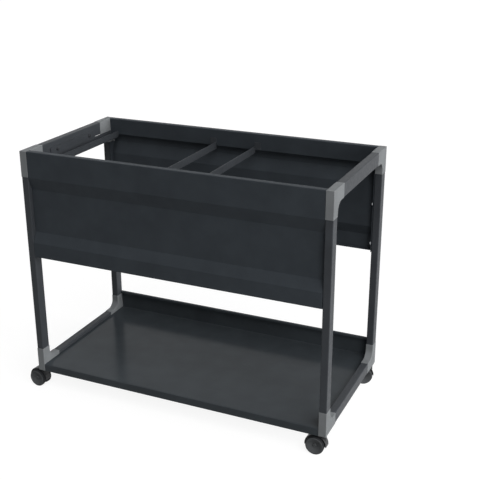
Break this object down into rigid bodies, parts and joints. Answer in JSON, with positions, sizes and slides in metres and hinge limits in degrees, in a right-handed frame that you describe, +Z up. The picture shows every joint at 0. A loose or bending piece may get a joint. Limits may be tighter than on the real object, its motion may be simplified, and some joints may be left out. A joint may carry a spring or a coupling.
{
  "type": "mobile file cart",
  "caption": "Open mobile cart for hanging files: tube end frames with plastic corners, folded side panels, file rails, a low shelf and swivelling twin-wheel casters.",
  "frame": {"origin": "on the floor under the middle of the frame, halfway between the four swivel axes", "axes": "+Z up, +X along the length, -Y towards the front panel"},
  "size_m": [0.9226, 0.447, 0.712],
  "materials": {
    "frame_paint": "satin powder coat, charcoal",
    "panel_paint": "fine satin powder coat, charcoal",
    "shelf_paint": "semi-gloss powder coat, charcoal",
    "rail_paint": "satin powder coat, charcoal",
    "corner_plastic": "fine-grained moulded plastic, mid grey",
    "zinc_screws": "bright zinc plate",
    "black_screws": "black oxide",
    "steel_pins": "turned steel",
    "caster_housing": "moulded plastic, charcoal",
    "wheel_plastic": "moulded plastic, mid grey"
  },
  "bodies": {
    "frame": {"top_beam_left": "frame_paint", "bottom_beam_left": "frame_paint", "top_beam_right": "frame_paint", "bottom_beam_right": "frame_paint", "post_front_left": "frame_paint", "top_corner_front_left": "corner_plastic", "bottom_corner_front_left": "corner_plastic", "post_back_left": "frame_paint", "top_corner_back_left": "corner_plastic", "bottom_corner_back_left": "corner_plastic", "post_front_right": "frame_paint", "top_corner_front_right": "corner_plastic", "bottom_corner_front_right": "corner_plastic", "post_back_right": "frame_paint", "top_corner_back_right": "corner_plastic", "bottom_corner_back_right": "corner_plastic", "front_panel": "panel_paint", "back_panel": "panel_paint", "shelf": "shelf_paint", "end_rail_left": "rail_paint", "centre_rail_left": "rail_paint", "end_rail_right": "rail_paint", "centre_rail_right": "rail_paint", "panel_screw_front_left_lower": "zinc_screws", "panel_screw_front_left_upper": "zinc_screws", "rail_screw_front_left": "black_screws", "shelf_screw_front_left": "black_screws", "panel_screw_back_left_lower": "zinc_screws", "panel_screw_back_left_upper": "zinc_screws", "rail_screw_back_left": "black_screws", "shelf_screw_back_left": "black_screws", "panel_screw_front_right_lower": "zinc_screws", "panel_screw_front_right_upper": "zinc_screws", "rail_screw_front_right": "black_screws", "shelf_screw_front_right": "black_screws", "panel_screw_back_right_lower": "zinc_screws", "panel_screw_back_right_upper": "zinc_screws", "rail_screw_back_right": "black_screws", "shelf_screw_back_right": "black_screws"},
    "caster_front_left": {"caster_front_left_stem": "steel_pins", "caster_front_left_housing": "caster_housing", "caster_front_left_axle": "steel_pins"},
    "caster_front_left_outer_wheel": {"caster_front_left_outer_wheel": "wheel_plastic"},
    "caster_front_left_inner_wheel": {"caster_front_left_inner_wheel": "wheel_plastic"},
    "caster_back_left": {"caster_back_left_stem": "steel_pins", "caster_back_left_housing": "caster_housing", "caster_back_left_axle": "steel_pins"},
    "caster_back_left_outer_wheel": {"caster_back_left_outer_wheel": "wheel_plastic"},
    "caster_back_left_inner_wheel": {"caster_back_left_inner_wheel": "wheel_plastic"},
    "caster_front_right": {"caster_front_right_stem": "steel_pins", "caster_front_right_housing": "caster_housing", "caster_front_right_axle": "steel_pins"},
    "caster_front_right_outer_wheel": {"caster_front_right_outer_wheel": "wheel_plastic"},
    "caster_front_right_inner_wheel": {"caster_front_right_inner_wheel": "wheel_plastic"},
    "caster_back_right": {"caster_back_right_stem": "steel_pins", "caster_back_right_housing": "caster_housing", "caster_back_right_axle": "steel_pins"},
    "caster_back_right_outer_wheel": {"caster_back_right_outer_wheel": "wheel_plastic"},
    "caster_back_right_inner_wheel": {"caster_back_right_inner_wheel": "wheel_plastic"}
  },
  "joints": [
    {"name": "caster_front_left_swivel", "type": "hinge", "parent": "frame", "child": "caster_front_left", "pos_m": [-0.4295, -0.2035, 0.056], "axis": [0, 0, 1], "continuous": true},
    {"name": "caster_front_left_outer_spin", "type": "hinge", "parent": "caster_front_left", "child": "caster_front_left_outer_wheel", "pos_m": [-0.44893, -0.2018, 0.025], "axis": [0.0872, 0.9962, 0], "continuous": true},
    {"name": "caster_front_left_inner_spin", "type": "hinge", "parent": "caster_front_left", "child": "caster_front_left_inner_wheel", "pos_m": [-0.44893, -0.2018, 0.025], "axis": [0.0872, 0.9962, 0], "continuous": true},
    {"name": "caster_back_left_swivel", "type": "hinge", "parent": "frame", "child": "caster_back_left", "pos_m": [-0.4295, 0.2035, 0.056], "axis": [0, 0, 1], "continuous": true},
    {"name": "caster_back_left_outer_spin", "type": "hinge", "parent": "caster_back_left", "child": "caster_back_left_outer_wheel", "pos_m": [-0.44895, 0.20486, 0.025], "axis": [0.0698, 0.9976, 0], "continuous": true},
    {"name": "caster_back_left_inner_spin", "type": "hinge", "parent": "caster_back_left", "child": "caster_back_left_inner_wheel", "pos_m": [-0.44895, 0.20486, 0.025], "axis": [0.0698, 0.9976, 0], "continuous": true},
    {"name": "caster_front_right_swivel", "type": "hinge", "parent": "frame", "child": "caster_front_right", "pos_m": [0.4295, -0.2035, 0.056], "axis": [0, 0, 1], "continuous": true},
    {"name": "caster_front_right_outer_spin", "type": "hinge", "parent": "caster_front_right", "child": "caster_front_right_outer_wheel", "pos_m": [0.41, -0.2035, 0.025], "axis": [0, 1, 0], "continuous": true},
    {"name": "caster_front_right_inner_spin", "type": "hinge", "parent": "caster_front_right", "child": "caster_front_right_inner_wheel", "pos_m": [0.41, -0.2035, 0.025], "axis": [0, 1, 0], "continuous": true},
    {"name": "caster_back_right_swivel", "type": "hinge", "parent": "frame", "child": "caster_back_right", "pos_m": [0.4295, 0.2035, 0.056], "axis": [0, 0, 1], "continuous": true},
    {"name": "caster_back_right_outer_spin", "type": "hinge", "parent": "caster_back_right", "child": "caster_back_right_outer_wheel", "pos_m": [0.41261, 0.19375, 0.025], "axis": [-0.5, 0.866, 0], "continuous": true},
    {"name": "caster_back_right_inner_spin", "type": "hinge", "parent": "caster_back_right", "child": "caster_back_right_inner_wheel", "pos_m": [0.41261, 0.19375, 0.025], "axis": [-0.5, 0.866, 0], "continuous": true}
  ]
}
